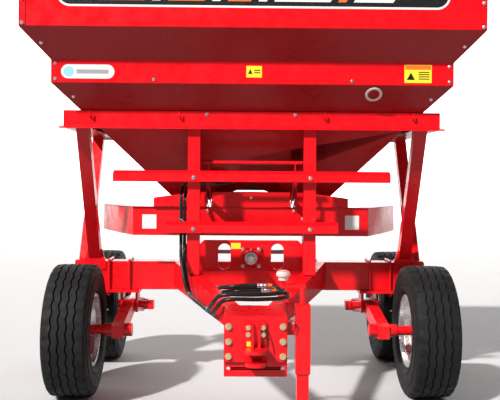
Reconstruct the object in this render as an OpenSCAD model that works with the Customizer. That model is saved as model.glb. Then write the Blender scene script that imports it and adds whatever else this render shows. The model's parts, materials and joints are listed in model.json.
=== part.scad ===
// Twin-disc trailed spreader: a W-bottomed hopper on a crossbeam with two tandem bogies,
// an A-frame drawbar with a bolted hitch, a shaft drive to two spinner discs, and a parking jack.
// +Z is up, the hitch points towards -Y, and the origin is on the ground at the middle of the base.

/* [Running gear] */
// Outer diameter of a tyre
tyre_d = 844; // [820:2:860]
// Width of a tyre
tyre_w = 284; // [260:2:300]
// Flange diameter of a rim
rim_d = 470; // [440:5:490]
// Distance from the machine's centre plane to a tyre's middle plane
track_half = 1135; // [1130:5:1150]
// Distance between the two axles of a bogie
wheelbase = 1100; // [1080:10:1160]
// Y place of the middle of the bogies
axle_y = 514; // [500:1:530]

/* [Chassis] */
// Half length of the crossbeam
crossbeam_half = 1245; // [1240:5:1260]
// Height of the crossbeam's underside
crossbeam_z = 620; // [615:1:640]
// Width of the crossbeam's section
crossbeam_w = 150; // [140:2:152]
// Height of the crossbeam's section
crossbeam_h = 200; // [190:2:202]
// Distance from the axle line forward to the face of the hitch
hitch_reach = 1880; // [1860:5:1900]
// Width of the hitch plates
hitch_w = 305; // [300:1:310]
// Diameter of the hitch pin's hole
hitch_bore_d = 32; // [28:1:36]

/* [Hopper] */
// Half width of the hopper at its upper rim
hopper_w = 1415; // [1405:5:1430]
// Half length of the hopper at its upper rim
hopper_l = 925; // [920:1:935]
// Height of the hopper's upper rim
hopper_top = 2660; // [2640:5:2700]
// Thickness of the hopper's sheet, measured level
sheet = 6; // [5:1:8]
// Half width of the rail frame
rail_hw = 1219; // [1215:1:1225]
// Half length of the rail frame
rail_hl = 612; // [610:1:616]

/* [Spreading gear] */
// Distance from the centre plane to a spinner disc's axis
disc_x = 421; // [420:1:422]
// Diameter of a spinner disc
disc_d = 550; // [500:10:560]
// Number of vanes on a disc
vanes = 6; // [4:1:8]
// Height of the input shaft
shaft_z = 880; // [878:1:882]
// Diameter of the input shaft
shaft_d = 35; // [32:1:38]

/* [Hidden] */

LEFT = -1;
RIGHT = 1;
FRONT = -1;
REAR = 1;
paint = [0.85, 0.04, 0.05];
dark_paint = [0.45, 0.02, 0.03];
zinc = [0.85, 0.75, 0.45];
steel = [0.7, 0.7, 0.72];
black = [0.08, 0.08, 0.08];
silver = [0.86, 0.87, 0.88];
eps = 1;

crossbeam_top = crossbeam_z + crossbeam_h;
beam_face = axle_y - crossbeam_w / 2;
axle_z = tyre_d / 2;
hitch_y = axle_y - hitch_reach;
head_rear = axle_y - 1500;
head_top = 730;
post_x = 374;
post_w = 80;
post_y = axle_y - 601;
post_foot = 787;
post_head = 1772;
rail_top = 1840;
rail_low = 1740;
neck_z = 1240;
neck_half = [161, 300];
ridge_z = 1559;
disc_y = axle_y + 60;
disc_z = 1060;
disc_t = 8;
gate_z = 1188;
control_y = axle_y - 500;
control_z = 1512;
control_x = 285;
arm_len = 170;
pivot_x = 860;
pivot_z = 505;
pivot_d = 50;
beam_w = 76;
spindle_d = 60;
hub_d = 150;
jack_x = 229;
jack_y = axle_y - 1830;
jack_w = 72;
jack_top = 787;
crank_r = 97;
// Radial gap between a shaft or pin and its bore
running_gap = 0.05;
// Heights of the hitch's bolt rows and of its plate's lower edge
bolt_rows = [686, 614, 543];
plate_low = 442;
// Reach of the clevis from the hitch plate, the gap between its ears and the height of the gap's middle
clevis_out = 120;
clevis_gap = 42;
clevis_z = 552;
pto_y = axle_y - 380;
bearing_face = pto_y - 12;
// Near and far ends of a bevel gear, from the point of its pitch cone
gear_in = 22;
gear_out = 38;
// Y place of the gates' forks from the axle line, and the height of the levers' pins
fork_y = control_y - axle_y;
pin_z = control_z - arm_len;

// Upper walls: half width, half length and height of each fold, from the rail to the rim
folds = [[1100, 600, rail_top], [1257, 757, 1997], [1257, 757, 2140], [hopper_w, hopper_l, 2315],
         [hopper_w, hopper_l, hopper_top]];
// Lower walls: half width, half length and height at the foot and at the rail
foot = [disc_x + neck_half[0] / 2, neck_half[1] / 2, neck_z];
waist = [990, 500, 1730];
side_folds = concat([foot, waist], folds);
// Shield outline, one half, from the middle of the front to the rear end
shield_pts = [[0, axle_y - 280], [810, axle_y - 262], [960, axle_y + 60], [1060, axle_y + 300],
              [1145, axle_y + 520]];
shield_low = 1018;
shield_high = 1216;

// Points of both hoses: out of the valve box, down beside the left post, along the drawbar's outer
// face, over the head and back in a loop
hose_route = [[-30, -166, 1408], [-80, -262, 1396], [-180, -330, 1378], [-330, -348, 1364],
              [-412, -430, 1350], [-434, -540, 1290], [-434, -562, 1110], [-434, -572, 950],
              [-425, -640, 850], [-392, -740, 710], [-360, -840, 668], [-300, -1060, 660],
              [-228, -1320, 656], [-204, -1450, 700], [-150, -1532, 762], [20, -1522, 764],
              [150, -1440, 760], [188, -1360, 766], [140, -1290, 770], [-20, -1270, 770],
              [-140, -1290, 772], [-165, -1345, 778], [-100, -1395, 790], [-30, -1395, 796],
              [5, -1395, 796], [40, -1395, 796]];
hose_d = 22;
hose_shift = [-22, -12, 26];
hose_sides = 8;

// Solid between two closed outlines that have the same number of points
module loft(a, b) {
    n = len(a);
    side = [for (i = [0:n - 1]) [i, (i + 1) % n, n + (i + 1) % n, n + i]];
    polyhedron(concat(a, b), concat([[for (i = [n - 1:-1:0]) i]], side, [[for (i = [0:n - 1]) n + i]]));
}

// Sheet whose outline is drawn in X and Z and whose Y place follows its height
module sloped_sheet(outline, low, high, sgn) {
    function y_at(z) = axle_y + sgn * (low[1] + (high[1] - low[1]) * (z - low[2]) / (high[2] - low[2]));
    near = [for (p = outline) [p[0], y_at(p[1]), p[1]]];
    far = [for (p = near) [p[0], p[1] - sgn * sheet, p[2]]];
    loft(sgn < 0 ? near : far, sgn < 0 ? far : near);
}

module tube_x(d, x0, x1, y, z) translate([x0, y, z]) rotate([0, 90, 0])
    cylinder(d = d, h = x1 - x0, $fn = 48);
module tube_y(d, y0, y1, x, z) translate([x, y1, z]) rotate([90, 0, 0])
    cylinder(d = d, h = y1 - y0, $fn = 48);
module box(lo, hi) translate(lo) cube(hi - lo);

// Hexagon bolt head with a washer that stands on a face, its axis along -Y
module bolt_y(x, y, z, d) translate([x, y, z]) rotate([90, 0, 0]) {
    cylinder(d = 2 * d, h = 3, $fn = 32);
    translate([0, 0, 3]) cylinder(d = 1.7 * d, h = 0.65 * d, $fn = 6);
}

module crossbeam() color(paint) {
    difference() {
        box([-crossbeam_half, beam_face, crossbeam_z],
            [crossbeam_half, axle_y + crossbeam_w / 2, crossbeam_top]);
        box([-crossbeam_half - eps, beam_face + 8, crossbeam_z + 8],
            [crossbeam_half + eps, axle_y + crossbeam_w / 2 - 8, crossbeam_top - 8]);
    }
}

// Tapered box beam from the crossbeam to the head, open at both ends
module drawbar(side) {
    function ring(y, inset, low, high, x_out) = [for (c = [[x_out - 92 + inset, low + inset],
        [x_out - inset, low + inset], [x_out - inset, high - inset], [x_out - 92 + inset, high - inset]])
        [side * c[0], y, c[1]]];
    function shell(inset, over) = [ring(beam_face + over, inset, 637, crossbeam_top, 535),
        ring(head_rear - over, inset, 617, 716, 153)];
    color(paint) difference() {
        if (side < 0) loft(shell(0, 0)[0], shell(0, 0)[1]);
        else loft(shell(0, 0)[1], shell(0, 0)[0]);
        if (side < 0) loft(shell(7, eps)[0], shell(7, eps)[1]);
        else loft(shell(7, eps)[1], shell(7, eps)[0]);
    }
}
module drawbar_left() drawbar(LEFT);
module drawbar_right() drawbar(RIGHT);

module drawbar_head() color(paint) difference() {
    box([-hitch_w / 2, hitch_y + 32, 600], [hitch_w / 2, head_rear, head_top]);
    box([-hitch_w / 2 + 14, hitch_y + 32 - eps, 600 - eps],
        [hitch_w / 2 - 14, head_rear - 14, head_top - 14]);
}

module bolt_holes(xs, zs, y0, y1, d) for (x = xs, z = zs) tube_y(d, y0, y1, x, z);

module hitch_plate() color(paint) difference() {
    union() {
        box([-hitch_w / 2, hitch_y + 16, plate_low], [hitch_w / 2, hitch_y + 32, 722]);
        box([-hitch_w / 2, hitch_y, 515], [hitch_w / 2, hitch_y + 16, 737]);
    }
    bolt_holes([-131, 131], [481], hitch_y - eps, hitch_y + 40, 18);
}

module hitch_clevis() color(paint) difference() {
    union() {
        box([-50, hitch_y - 14, 516], [50, hitch_y, 710]);
        for (s = [-1, 1]) translate([0, 0, clevis_z + s * (clevis_gap / 2 + 9) - 9]) {
            translate([0, hitch_y - clevis_out + 52, 0]) cylinder(r = 52, h = 18, $fn = 64);
            box([-52, hitch_y - clevis_out + 52, 0], [52, hitch_y - 14 + eps / 2, 18]);
        }
        for (x = [-22, 10]) translate([x, hitch_y - 13, 0]) rotate([90, 0, 90]) linear_extrude(12)
            polygon([[0, 590], [-34, 590], [-16, 700], [0, 706]]);
    }
    translate([0, hitch_y - clevis_out + 52, 500]) cylinder(d = hitch_bore_d, h = 120, $fn = 64);
}

module hitch_bolts() color(zinc) {
    for (x = [-131, 131], z = bolt_rows) bolt_y(x, hitch_y, z, 16);
    for (x = [-36, 36], z = [683, 650]) bolt_y(x, hitch_y - 14, z, 12);
}

module pto_plate() color(paint) difference() {
    translate([0, pto_y, 0]) rotate([90, 0, 0]) linear_extrude(12)
        polygon([[-352, 787], [352, 787], [352, 960], [316, 996], [-316, 996], [-352, 960]]);
    tube_y(80, pto_y - 20, pto_y + 10, 0, shaft_z);
    for (s = [-1, 1]) {
        for (z = [840, 930]) tube_y(84, pto_y - 20, pto_y + 10, s * 178, z);
        box([s * 178 - 42, pto_y - 20, 840], [s * 178 + 42, pto_y + 10, 930]);
    }
}

module pto_bearing() color(paint) difference() {
    union() {
        box([-70, bearing_face - 16, shaft_z - 70], [70, bearing_face, shaft_z + 70]);
        tube_y(96, bearing_face - 42, bearing_face - 15, 0, shaft_z);
    }
    tube_y(shaft_d + 2 * running_gap, bearing_face - 50, bearing_face + 10, 0, shaft_z);
    for (x = [-54, 54], z = [shaft_z - 54, shaft_z + 54])
        tube_y(13, bearing_face - 50, bearing_face + 10, x, z);
}

module post(side) color(paint) difference() {
    box([side * post_x - post_w / 2, post_y, post_foot],
        [side * post_x + post_w / 2, post_y + 60, post_head]);
    box([side * post_x - post_w / 2 + 5, post_y + 5, post_foot - eps],
        [side * post_x + post_w / 2 - 5, post_y + 55, post_head + eps]);
}
module post_left() post(LEFT);
module post_right() post(RIGHT);

// Folded step: an upright face and a tread that slopes back over it
module step(half, top) color(paint) translate([-half, post_y, top]) rotate([90, 0, 90])
    linear_extrude(2 * half)
    polygon([[0, 0], [-44, -22], [-44, -74], [-39, -74], [-39, -25], [0, -6]]);
module step_upper() step(889, 1458);
module step_lower() step(555, 1130);

// One slanted square leg between two heights, in its own upright plane
module leg(x, y_low, y_high, z_high) {
    a = [for (c = [[-42, -38], [42, -38], [42, 38], [-42, 38]]) [x + c[0], y_low + c[1], crossbeam_top + 8]];
    b = [for (p = a) [p[0], p[1] + y_high - y_low, z_high]];
    loft(b, a);
}
module leg_pair(side) color(paint) {
    leg(side * 1103, axle_y - 38, axle_y - 520, rail_low - 6);
    leg(side * 1188, axle_y + 38, axle_y + 530, rail_low - 6);
    box([side * 1146 - 92, beam_face, crossbeam_top],
        [side * 1146 + 92, beam_face + crossbeam_w, crossbeam_top + 9]);
    translate([side * 1103, beam_face, 0]) rotate([90, 0, 0]) linear_extrude(7)
        polygon([[-78, 760], [78, 760], [78, 812], [52, 905], [-52, 905], [-78, 812]]);
}
module legs_left() leg_pair(LEFT);
module legs_right() leg_pair(RIGHT);

// End rail: an upright web whose lower lip flares outward, drawn as outward offset and height
module rail_x(sgn) color(paint)
    translate([0, axle_y, 0]) mirror([0, sgn > 0 ? 1 : 0, 0]) rotate([90, 0, 90]) {
    translate([0, 0, 5 - rail_hw]) linear_extrude(2 * rail_hw - 10)
        polygon([[-rail_hl + 5, rail_low], [-rail_hl + 11, rail_low - 5], [-rail_hl + 11, rail_top],
                 [-rail_hl + 5, rail_top]]);
    translate([0, 0, -rail_hw - 20]) linear_extrude(2 * rail_hw + 40)
        polygon([[-rail_hl + 5, rail_low], [-rail_hl + 11, rail_low - 5], [-rail_hl - 30, rail_low - 20],
                 [-rail_hl - 30, rail_low - 14]]);
}
// Side rail: a web between the end rails with a shelf to the hopper and a flange over the legs
module rail_y(sgn) color(paint) translate([0, axle_y + rail_hl - 11, 0]) mirror([sgn < 0 ? 1 : 0, 0, 0])
    rotate([90, 0, 0]) linear_extrude(2 * (rail_hl - 11))
        polygon([for (c = [[20, rail_low], [20, rail_low - 6], [-150, rail_low - 6], [-150, rail_low],
                           [-11, rail_low], [-11, rail_top - 6], [-118, rail_top - 6], [-118, rail_top],
                           [-5, rail_top], [-5, rail_low]]) [rail_hw + c[0], c[1]]]);
module rail_front() rail_x(FRONT);
module rail_rear() rail_x(REAR);
module rail_left() rail_y(LEFT);
module rail_right() rail_y(RIGHT);

// Front or rear wall: the W-shaped lower sheet and the folded sheets above it
module end_wall(sgn) color(paint) {
    inner = disc_x - neck_half[0] / 2;
    sloped_sheet([[-waist[0], waist[2]], [-foot[0], foot[2]], [-inner, foot[2]], [0, ridge_z],
                  [inner, foot[2]], [foot[0], foot[2]], [waist[0], waist[2]]], foot, waist, sgn);
    levels = concat([waist], folds);
    for (i = [0:len(levels) - 2]) {
        lo = levels[i];
        hi = levels[i + 1];
        sloped_sheet([[-hi[0], hi[2]], [-lo[0], lo[2]], [lo[0], lo[2]], [hi[0], hi[2]]], lo, hi, sgn);
    }
}
module hopper_front() end_wall(FRONT);
module hopper_rear() end_wall(REAR);

// Side wall between the end walls, from the outlet neck to the rim
module side_wall(sgn) {
    function corners(f) = [for (c = [[sheet, -1], [0, -1], [0, 1], [sheet, 1]])
        [sgn * (f[0] - c[0]), axle_y + c[1] * (f[1] - sheet), f[2]]];
    for (i = [0:len(side_folds) - 2]) {
        if (sgn > 0) loft(corners(side_folds[i]), corners(side_folds[i + 1]));
        else loft(corners(side_folds[i + 1]), corners(side_folds[i]));
    }
}
module hopper_left() color(paint) side_wall(LEFT);
module hopper_right() color(paint) side_wall(RIGHT);

ridge_l = foot[1] + (waist[1] - foot[1]) * (ridge_z - foot[2]) / (waist[2] - foot[2]);
module hopper_ridge() color(dark_paint) for (s = [-1, 1]) {
    drop = 7;
    share = drop / (ridge_z - foot[2]);
    end_x = (1 - share) * (disc_x - neck_half[0] / 2);
    end_l = foot[1] - sheet + share * (ridge_l - foot[1]);
    top = [for (c = [-1, 1]) [0, axle_y + c * (ridge_l - sheet), ridge_z]];
    low = [for (c = [1, -1]) [s * end_x, axle_y + c * end_l, foot[2] + drop]];
    a = concat(top, low);
    b = [for (p = a) [p[0], p[1], p[2] - drop]];
    if (s > 0) loft(a, b); else loft(b, a);
}

module outlet_necks() color(dark_paint) for (s = [-1, 1]) difference() {
    box([s * disc_x - 92, axle_y - 162, 1200], [s * disc_x + 92, axle_y + 162, neck_z]);
    box([s * disc_x - 80, axle_y - 149, 1200 - eps], [s * disc_x + 80, axle_y + 149, neck_z + eps]);
}

full_shield = concat([for (i = [len(shield_pts) - 1:-1:1]) [-shield_pts[i][0], shield_pts[i][1]]],
                     shield_pts);
module shield_skirt() color(paint) translate([0, 0, shield_low]) linear_extrude(shield_high - shield_low - 5)
    polygon(concat(full_shield, [for (i = [len(full_shield) - 1:-1:0])
        full_shield[i] + [-sign(full_shield[i][0]) * 5, i > 0 && i < len(full_shield) - 1 ? 5 : 0]]));
// Flat rim of the shield, notched where the push rods of the gates pass through it
module shield_top() color(paint) difference() {
    translate([0, 0, shield_high - 5]) linear_extrude(5)
        polygon(concat([for (p = full_shield) [p[0] * 1.012, p[1] - 12]], [[1020, axle_y + 508],
            [850, axle_y + 90], [730, axle_y - 180], [-730, axle_y - 180], [-850, axle_y + 90],
            [-1020, axle_y + 508]]));
    for (s = [-1, 1]) box([s * control_x - 18, axle_y - 275, shield_high - 20],
        [s * control_x + 18, axle_y - 170, shield_high + 20]);
}

module front_cover() color(paint) difference() {
    translate([0, axle_y - 285, 0]) rotate([90, 0, 0]) linear_extrude(5)
        polygon([[-667, shield_high], [667, shield_high], [667, 1278], [380, 1316], [0, 1322],
                 [-380, 1316], [-667, 1278]]);
    for (s = [-1, 1]) box([s * control_x - 16, axle_y - 320, shield_high - eps],
        [s * control_x + 16, axle_y - 250, 1340]);
}

// Brackets under the crossbeam, each with its pivot pin and the square end of that pin
module bogie_saddles() color(paint) for (s = [-1, 1]) translate([s * pivot_x, axle_y, 0])
    mirror([s < 0 ? 1 : 0, 0, 0]) {
    difference() {
        union() {
            box([-80, -115, crossbeam_z - 18], [175, 115, crossbeam_z]);
            for (x = [-62, 44]) box([x, -60, pivot_z - 50], [x + 18, 60, crossbeam_z - 17]);
        }
        tube_x(pivot_d, -100, 200, 0, pivot_z);
        for (x = [-5, 140], y = [-88, 88]) translate([x, y, 500]) cylinder(d = 18, h = 200, $fn = 32);
    }
    tube_x(pivot_d, -130, 70, 0, pivot_z);
    box([-170, -34, pivot_z - 34], [-129, 34, pivot_z + 34]);
}

// Bent round bar over the crossbeam with a nut under the saddle on each leg
module saddle_ubolts() color(paint) for (s = [-1, 1], dx = [-5, 140])
    translate([s * (pivot_x + dx), axle_y, 0]) {
    for (y = [-88, 88]) {
        translate([0, y, crossbeam_z - 42]) cylinder(d = 16, h = crossbeam_h + 42 + 13, $fn = 32);
        translate([0, y, crossbeam_z - 36]) cylinder(d = 27, h = 17.5, $fn = 6);
    }
    tube_y(16, -96, 96, 0, crossbeam_top + 9);
}

// Bevel gear cases on the crossbeam: one in the middle and one under each disc
module gear_cases() color(dark_paint) for (x = [-disc_x, 0, disc_x]) translate([x, disc_y, 0]) difference() {
    union() {
        box([-62, -62, crossbeam_top], [62, 62, crossbeam_top + 10]);
        box([-56, -56, crossbeam_top + 9], [56, 56, 940]);
        if (x != 0) translate([0, 0, 939]) cylinder(d = 84, h = 60, $fn = 48);
        if (x == 0) tube_y(84, -90, -55, 0, shaft_z);
    }
    if (x != 0) translate([0, 0, 900]) cylinder(d = 34 + 2 * running_gap, h = 110, $fn = 48);
    box([-44, -44, crossbeam_top + 18], [44, 44, 925]);
    tube_x(30 + 2 * running_gap, -80, 80, 0, shaft_z);
    if (x == 0) tube_y(shaft_d + 2 * running_gap, -100, 0, 0, shaft_z);
}

module gate_valve_box() color(black) translate([0, axle_y - 30, 0]) rotate([90, 0, 0]) linear_extrude(120)
    polygon([[-105, 1330], [105, 1330], [150, 1400], [60, 1474], [8, 1474], [8, 1543], [-8, 1543],
             [-8, 1474], [-60, 1474], [-150, 1400]]);

// Ring of points square to a route at one of its points
function unit(v) = v / norm(v);
function dir(p, i) = unit(p[min(i + 1, len(p) - 1)] - p[max(i - 1, 0)]);
function ring_at(c, t, d, n) =
    let (u = unit(cross(t, abs(t[2]) > 0.9 ? [1, 0, 0] : [0, 0, 1])), v = cross(t, u))
    [for (k = [0:n - 1]) c + d / 2 * (cos(360 * k / n) * u + sin(360 * k / n) * v)];
// Smooth route through the points, two steps for each stretch
function smooth(p, i, t) = let (a = p[max(i - 1, 0)], b = p[i], c = p[i + 1], e = p[min(i + 2, len(p) - 1)])
    0.5 * ((2 * b) + (c - a) * t + (2 * a - 5 * b + 4 * c - e) * t * t + (3 * b - a - 3 * c + e) * t * t * t);
function dense(p) = concat([for (i = [0:len(p) - 2], t = [0, 0.5]) smooth(p, i, t)], [p[len(p) - 1]]);
module hose(p, d) {
    rings = [for (i = [0:len(p) - 1]) ring_at(p[i], dir(p, i), d, hose_sides)];
    n = hose_sides;
    polyhedron([for (r = rings) each r], concat([[for (k = [0:n - 1]) k]],
        [for (i = [0:len(p) - 2], k = [0:n - 1])
            [i * n + k, (i + 1) * n + k, (i + 1) * n + (k + 1) % n, i * n + (k + 1) % n]],
        [[for (k = [n - 1:-1:0]) (len(p) - 1) * n + k]]));
}
module hydraulic_hoses() color(black) for (i = [0, 1]) translate([0, axle_y, 0] + i * hose_shift)
    hose(dense(hose_route), hose_d);

module hose_couplers() color(silver) for (i = [0, 1])
    translate([0, axle_y, 0] + hose_route[len(hose_route) - 1] + i * hose_shift)
    rotate([0, 90, 0]) {
        cylinder(d = 27, h = 45, $fn = 6);
        translate([0, 0, 45]) cylinder(d = 24, h = 36, $fn = 32);
    }

// Toothless 45 degree bevel gear on +Z whose pitch cone has its point at the origin
module bevel() cylinder(r1 = gear_in - 0.4, r2 = gear_out - 0.4, h = gear_out - gear_in, $fn = 48);

module pto_shaft() color(steel) {
    translate([0, disc_y - gear_in, shaft_z]) rotate([90, 0, 0]) bevel();
    tube_y(shaft_d, bearing_face - 120, disc_y - 30, 0, shaft_z);
    for (a = [0:60:300]) translate([0, 0, shaft_z]) rotate([0, a, 0])
        box([-4, bearing_face - 120, shaft_d / 2 - 1], [4, bearing_face - 45, shaft_d / 2 + 3]);
}
module cross_shaft() color(steel) {
    tube_x(30, -disc_x - 30, disc_x + 30, disc_y, shaft_z);
    translate([gear_in, disc_y, shaft_z]) rotate([0, 90, 0]) bevel();
    for (s = [-1, 1]) translate([s * (disc_x - gear_in), disc_y, shaft_z]) rotate([0, -s * 90, 0]) bevel();
}

module spinner(s) color(steel) translate([s * disc_x, disc_y, 0]) {
    translate([0, 0, disc_z]) cylinder(d = disc_d, h = disc_t, $fn = 96);
    translate([0, 0, disc_z - 50]) cylinder(d = 70, h = 51, $fn = 48);
    translate([0, 0, shaft_z + gear_in]) cylinder(d = 34, h = 120, $fn = 48);
    translate([0, 0, shaft_z + gear_in]) bevel();
    translate([0, 0, disc_z + disc_t - eps]) cylinder(d1 = 90, d2 = 40, h = 34, $fn = 48);
}
module disc_left() spinner(LEFT);
module disc_right() spinner(RIGHT);

// Upright vanes, bent forward at the top, spaced round a disc
module vane_set(s) color(steel) translate([s * disc_x, disc_y, disc_z + disc_t]) for (i = [0:vanes - 1])
    rotate([0, 0, 360 * i / vanes]) {
        box([70, -3, 0], [disc_d / 2 - 4, 3, 44]);
        box([70, -24, 44 - 5], [disc_d / 2 - 4, 3, 44]);
    }
module vanes_left() vane_set(LEFT);
module vanes_right() vane_set(RIGHT);

// Rotating tube with a flat lever near each end
module control_shaft() color(paint) {
    tube_x(28, -post_x + post_w / 2 + 1, post_x - post_w / 2 - 1, control_y, control_z);
    for (s = [-1, 1]) {
        box([s * control_x - 4, control_y - 12, pin_z - 12], [s * control_x + 4, control_y + 12, control_z]);
        tube_x(10, s * control_x - 14, s * control_x + 14, control_y, pin_z);
    }
}

// Slide gate under the right outlet with a push rod that rises to a slotted fork on the lever's pin
module gate() color(steel) {
    box([disc_x - 92, axle_y - 158, gate_z], [disc_x + 92, axle_y + 158, gate_z + 6]);
    box([control_x - 20, axle_y - 178, gate_z], [disc_x + 92, axle_y - 157, gate_z + 6]);
    for (x = [-14, 7]) difference() {
        translate([control_x + x, axle_y, 0]) rotate([90, 0, 90]) linear_extrude(7)
            polygon([[-160, gate_z + 1], [-178, gate_z + 1], [fork_y + 25, 1292], [fork_y - 22, 1312],
                     [fork_y - 22, 1382], [fork_y + 22, 1382], [fork_y + 44, 1325], [-160, gate_z + 26]]);
        box([control_x + x - 1, control_y - 6.5, pin_z - 12],
            [control_x + x + 8, control_y + 6.5, pin_z + 26]);
    }
}
module gate_left() mirror([1, 0, 0]) gate();
module gate_right() gate();

module jack_tube() color(paint) difference() {
    union() {
        box([jack_x - jack_w / 2, jack_y - jack_w / 2, 452],
            [jack_x + jack_w / 2, jack_y + jack_w / 2, jack_top]);
        box([hitch_w / 2, jack_y - 20, 640], [jack_x - jack_w / 2 + eps, jack_y + 20, 700]);
    }
    box([jack_x - jack_w / 2 + 5, jack_y - jack_w / 2 + 5, 452 - eps],
        [jack_x + jack_w / 2 - 5, jack_y + jack_w / 2 - 5, jack_top - 8]);
    translate([jack_x, jack_y, jack_top - 20]) cylinder(d = 30 + 2 * running_gap, h = 40, $fn = 48);
}

module jack_leg() color(dark_paint) {
    difference() {
        box([jack_x - 29, jack_y - 29, 8], [jack_x + 29, jack_y + 29, 530]);
        box([jack_x - 24, jack_y - 24, 20], [jack_x + 24, jack_y + 24, 530 + eps]);
    }
    box([jack_x - 80, jack_y - 80, 0], [jack_x + 80, jack_y + 80, 9]);
}

module jack_crank() color(paint) translate([jack_x, jack_y, 0]) {
    translate([0, 0, 540]) cylinder(d = 22, h = 330, $fn = 32);
    translate([0, 0, jack_top - 16]) cylinder(d = 30, h = 104, $fn = 48);
    box([-crank_r - 12, -12, 866], [15, 12, 882]);
    translate([-crank_r, 0, 881]) {
        cylinder(d = 16, h = 30, $fn = 32);
        translate([0, 0, 24]) cylinder(d1 = 34, d2 = 46, h = 20, $fn = 32);
        translate([0, 0, 44]) cylinder(d1 = 66, d2 = 50, h = 26, $fn = 32);
    }
}

// Bogie beam that bends down to its two stub axles
module walking_beam(s) color(paint) {
    half = wheelbase / 2;
    difference() {
        union() {
            translate([s * pivot_x - beam_w / 2, axle_y, 0]) rotate([90, 0, 90]) linear_extrude(beam_w)
                polygon([[-half - 52, axle_z - 48], [-half - 52, axle_z + 34], [-half, axle_z + 48],
                         [-60, pivot_z + 44], [60, pivot_z + 44], [half, axle_z + 48],
                         [half + 52, axle_z + 34], [half + 52, axle_z - 48], [half - 60, axle_z - 48],
                         [60, pivot_z - 50], [-60, pivot_z - 50], [-half + 60, axle_z - 48]]);
            for (e = [-1, 1]) tube_x(84, s * pivot_x - 90, s * pivot_x + 90, axle_y + e * half, axle_z);
        }
        tube_x(pivot_d + 2 * running_gap, s * pivot_x - 100, s * pivot_x + 100, axle_y, pivot_z);
    }
    for (e = [-1, 1]) translate([0, axle_y + e * half, axle_z]) rotate([0, s * 90, 0])
        cylinder(d = spindle_d, h = track_half + 60, $fn = 48);
}
module beam_with_spindles(s) color(paint) intersection() {
    walking_beam(s);
    box([s < 0 ? -2000 : pivot_x - 90, -2000, 0], [s < 0 ? -pivot_x + 90 : 2000, 3000, 1000]);
}
module walking_beam_left() beam_with_spindles(LEFT);
module walking_beam_right() beam_with_spindles(RIGHT);

// Puts a wheel part, drawn round Z with +Z outward, at one wheel
module at_wheel(s, e) translate([s * track_half, axle_y + e * wheelbase / 2, axle_z])
    rotate([0, s * 90, 0]) children();

// Half of a wheel's section turned over to the other side, in reverse order
function flip(p) = [for (i = [len(p) - 1:-1:0]) [p[i][0], -p[i][1]]];
module tyre() color(black) rotate_extrude($fn = 128) {
    r = tyre_d / 2;
    w = tyre_w / 2;
    b = rim_d / 2;
    outside = [[b - 16, w - 34], [b + 2, w - 30], [b + 40, w], [r - 62, w - 3], [r - 14, w - 12],
               [r, w - 32]];
    inside = [[r - 40, w - 36], [b + 46, w - 28], [b - 4, w - 52]];
    polygon(concat(outside, flip(outside), flip(inside), [[r - 30, 0]], inside));
}
module rim() color(silver) {
    rotate_extrude($fn = 96) {
        b = rim_d / 2;
        w = tyre_w / 2;
        polygon([[b, -w + 20], [b, -w + 26], [b - 17, -w + 28], [b - 17, -w + 52], [b - 40, -w + 84],
                 [b - 40, w - 84], [b - 17, w - 52], [b - 17, w - 28], [b, w - 26], [b, w - 20],
                 [b - 23, w - 20], [b - 23, w - 54], [b - 47, w - 87], [b - 47, -w + 87], [b - 23, -w + 54],
                 [b - 23, -w + 20]]);
    }
    difference() {
        translate([0, 0, 10]) cylinder(r = rim_d / 2 - 47, h = 12, $fn = 96);
        translate([0, 0, 0]) cylinder(d = 112, h = 40, $fn = 64);
        for (a = [30:60:330]) rotate([0, 0, a]) translate([140, 0, 0]) cylinder(d = 42, h = 40, $fn = 48);
        for (a = [0:60:300]) rotate([0, 0, a]) translate([81, 0, 0]) cylinder(d = 17, h = 40, $fn = 32);
    }
}
// Cast hub with a flange, wheel nuts and a grease cap
module hub() color(steel) difference() {
    union() {
        translate([0, 0, -70]) cylinder(d = 110, h = 140, $fn = 64);
        translate([0, 0, -4]) cylinder(d = 200, h = 14, $fn = 64);
        for (a = [0:60:300]) rotate([0, 0, a]) translate([81, 0, 22]) cylinder(d = 30, h = 18, $fn = 6);
        for (a = [0:60:300]) rotate([0, 0, a]) translate([81, 0, 5]) cylinder(d = 16, h = 40, $fn = 24);
        translate([0, 0, 69]) cylinder(d1 = 96, d2 = 70, h = 22, $fn = 48);
    }
    translate([0, 0, -80]) cylinder(d = spindle_d + 2 * running_gap, h = 142, $fn = 48);
}

module tyre_front_left() at_wheel(LEFT, FRONT) tyre();
module tyre_front_right() at_wheel(RIGHT, FRONT) tyre();
module tyre_rear_left() at_wheel(LEFT, REAR) tyre();
module tyre_rear_right() at_wheel(RIGHT, REAR) tyre();
module rim_front_left() at_wheel(LEFT, FRONT) rim();
module rim_front_right() at_wheel(RIGHT, FRONT) rim();
module rim_rear_left() at_wheel(LEFT, REAR) rim();
module rim_rear_right() at_wheel(RIGHT, REAR) rim();
module hub_front_left() at_wheel(LEFT, FRONT) hub();
module hub_front_right() at_wheel(RIGHT, FRONT) hub();
module hub_rear_left() at_wheel(LEFT, REAR) hub();
module hub_rear_right() at_wheel(RIGHT, REAR) hub();

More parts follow.
